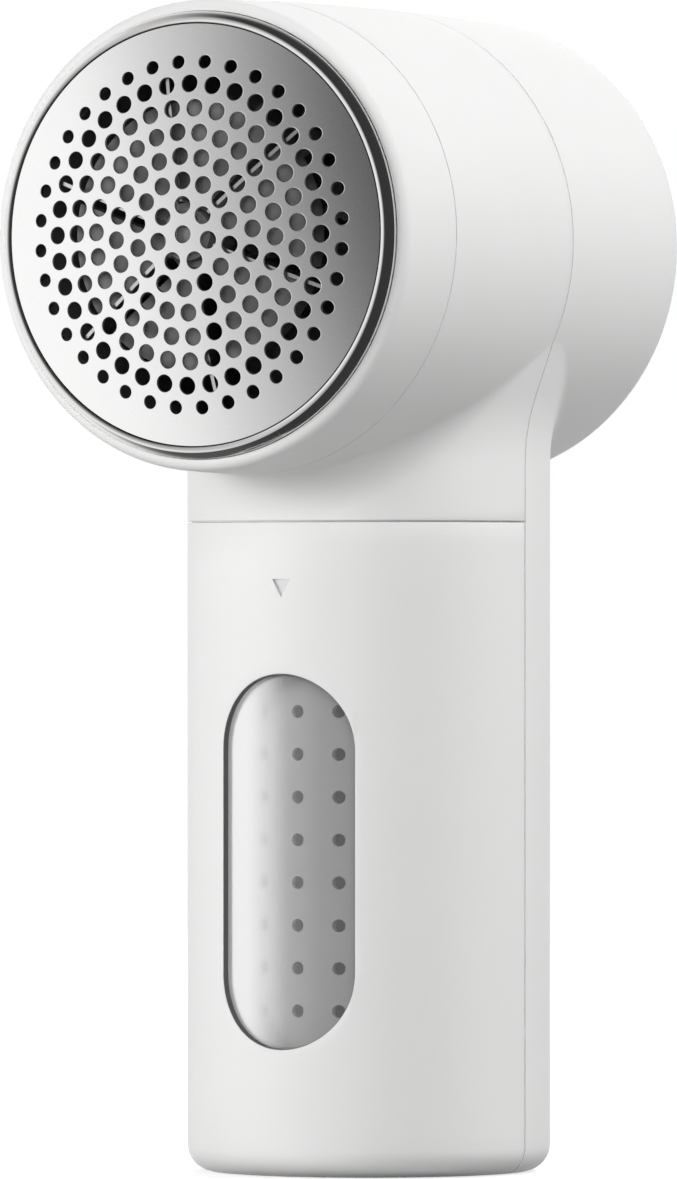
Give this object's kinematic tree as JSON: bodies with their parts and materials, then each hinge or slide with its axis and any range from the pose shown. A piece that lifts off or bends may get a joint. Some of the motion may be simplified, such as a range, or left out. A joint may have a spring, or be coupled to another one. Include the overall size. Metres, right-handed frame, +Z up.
{
  "type": "fabric shaver",
  "caption": "Handheld fabric shaver: barrel head with a domed perforated cutting foil, spinning blades, and a round handle with a slide-down lint bin and window.",
  "frame": {"origin": "centre of the flat base of the handle", "axes": "+Z up along the handle, the cutting foil faces -Y and the head's axis is parallel to Y"},
  "size_m": [0.0658, 0.0893, 0.1626],
  "materials": {
    "white_plastic": "fine satin moulded",
    "grey_plastic": "satin moulded",
    "brushed_steel": "fine satin",
    "polished_steel": "polished",
    "plain_steel": "zinc plated",
    "brass": "plain",
    "clear_plastic": "clear polished",
    "rubber": "matt",
    "board": "solder mask",
    "black_plastic": "moulded",
    "cell_wrap": "shrink sleeve"
  },
  "bodies": {
    "housing": {"rear_shell": "white_plastic", "front_shell": "white_plastic", "chassis": "grey_plastic", "case_screws": "plain_steel", "motor_bracket": "plain_steel", "motor_can": "plain_steel", "motor_end_cap": "black_plastic", "motor_bushes": "brass", "motor_magnets": "plain_steel", "motor_screws": "plain_steel", "motor_terminals": "brass", "cutter_cup": "grey_plastic", "chute_seal": "rubber", "battery_cell": "cell_wrap", "battery_cradle": "grey_plastic", "battery_tabs": "plain_steel", "circuit_board": "board", "board_posts": "grey_plastic", "tact_switch": "black_plastic", "status_lamp": "clear_plastic", "charge_socket": "plain_steel", "socket_board": "board"},
    "foil_head": {"head_ring": "white_plastic", "foil": "brushed_steel", "foil_rim": "polished_steel", "foil_holder": "grey_plastic"},
    "rotor": {"blade_carrier": "grey_plastic", "cutter_blades": "brushed_steel", "drive_hub": "brass", "motor_shaft": "plain_steel", "suction_fan": "grey_plastic", "motor_armature": "plain_steel"},
    "bin": {"lint_bin": "white_plastic", "bin_window": "clear_plastic", "bin_screen": "grey_plastic"},
    "button": {"power_button": "white_plastic", "switch_plunger": "black_plastic"}
  },
  "joints": [
    {"name": "rotor_spin", "type": "hinge", "parent": "housing", "child": "rotor", "pos_m": [0, 0, 0.1297], "axis": [0, 1, 0], "continuous": true},
    {"name": "head_pull", "type": "slide", "parent": "housing", "child": "foil_head", "axis": [0, -1, 0], "range_m": [0, 0.025]},
    {"name": "bin_slide", "type": "slide", "parent": "housing", "child": "bin", "axis": [0, 0, -1], "range_m": [0, 0.094]},
    {"name": "button_press", "type": "slide", "parent": "housing", "child": "button", "axis": [0, -1, 0], "range_m": [0, 0.0006], "stiffness_N_per_m": 3000}
  ]
}
